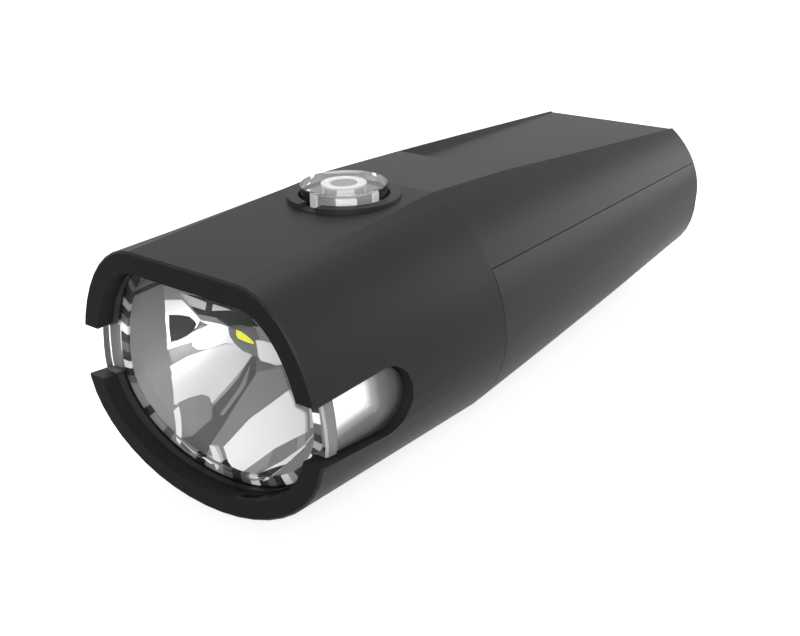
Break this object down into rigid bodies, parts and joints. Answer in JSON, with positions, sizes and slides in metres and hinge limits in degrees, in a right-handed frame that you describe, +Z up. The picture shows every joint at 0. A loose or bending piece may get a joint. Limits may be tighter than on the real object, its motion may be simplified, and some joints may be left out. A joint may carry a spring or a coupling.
{
  "type": "bike headlight",
  "caption": "Slim black battery headlight for a bicycle: D-shaped front with side windows, clear lens over a faceted reflector, round clear push button on top, tapered tail.",
  "frame": {"origin": "below the middle of the body, level with the lowest line of the belly", "axes": "beam along -Y and tail along +Y, +Z up, +X towards the light's left-hand side as a rider sees it from behind"},
  "size_m": [0.0396, 0.1012, 0.035],
  "materials": {
    "housing": "satin moulded black polycarbonate blend",
    "tail_shell": "satin moulded black polycarbonate blend",
    "shell_seal": "soft black silicone",
    "screw_steel": "zinc-plated steel",
    "lens": "clear polished polycarbonate",
    "lens_seal": "black silicone",
    "reflector": "vacuum metallised inside, white moulding outside",
    "led_die": "yellow phosphor",
    "led_package": "white ceramic",
    "led_board": "aluminium-core board with dark solder mask",
    "wire_red": "silicone-insulated wire",
    "heat_sink": "bare sheet",
    "circuit_board": "green solder mask",
    "board_parts": "moulded black components",
    "tact_switch": "black nylon",
    "status_leds": "clear epoxy",
    "button_seal": "grey silicone",
    "button_cap": "clear polished polycarbonate",
    "button_core": "white light guide",
    "button_plunger": "grey acetal",
    "battery_cell": "blue shrink sleeve",
    "cell_terminal": "nickel-plated steel",
    "cell_cradle": "dark grey nylon",
    "contact": "nickel-plated spring bronze",
    "charge_socket": "drawn stainless shell",
    "socket_tongue": "black liquid-crystal polymer",
    "cover_pin": "stainless pin",
    "port_cover": "black rubber"
  },
  "bodies": {
    "light": {"housing": "housing", "tail_shell": "tail_shell", "shell_seal": "shell_seal", "case_screws": "screw_steel", "lens": "lens", "lens_seal": "lens_seal", "reflector": "reflector", "led_die": "led_die", "led_package": "led_package", "led_board": "led_board", "led_screws": "screw_steel", "led_leads": "wire_red", "heat_sink": "heat_sink", "main_board": "circuit_board", "board_parts": "board_parts", "board_screws": "screw_steel", "tact_switch": "tact_switch", "status_leds": "status_leds", "button_seal": "button_seal", "battery_cell": "battery_cell", "cell_terminal": "cell_terminal", "cell_cradle": "cell_cradle", "front_contact": "contact", "rear_contact": "contact", "cell_leads": "wire_red", "charge_board": "circuit_board", "charge_socket": "charge_socket", "socket_tongue": "socket_tongue", "cover_pin": "cover_pin"},
    "button": {"button_cap": "button_cap", "button_core": "button_core", "button_plunger": "button_plunger", "switch_stem": "tact_switch"},
    "flap": {"port_cover": "port_cover"}
  },
  "joints": [
    {"name": "button_press", "type": "slide", "parent": "light", "child": "button", "axis": [0, 0, -1], "range_m": [0, 0.0006], "stiffness_N_per_m": 900, "springref_m": -0.0002},
    {"name": "port_cover_swing", "type": "hinge", "parent": "light", "child": "flap", "pos_m": [0, 0.04985, 0.0186], "axis": [1, 0, 0], "range_deg": [0, 100]}
  ]
}
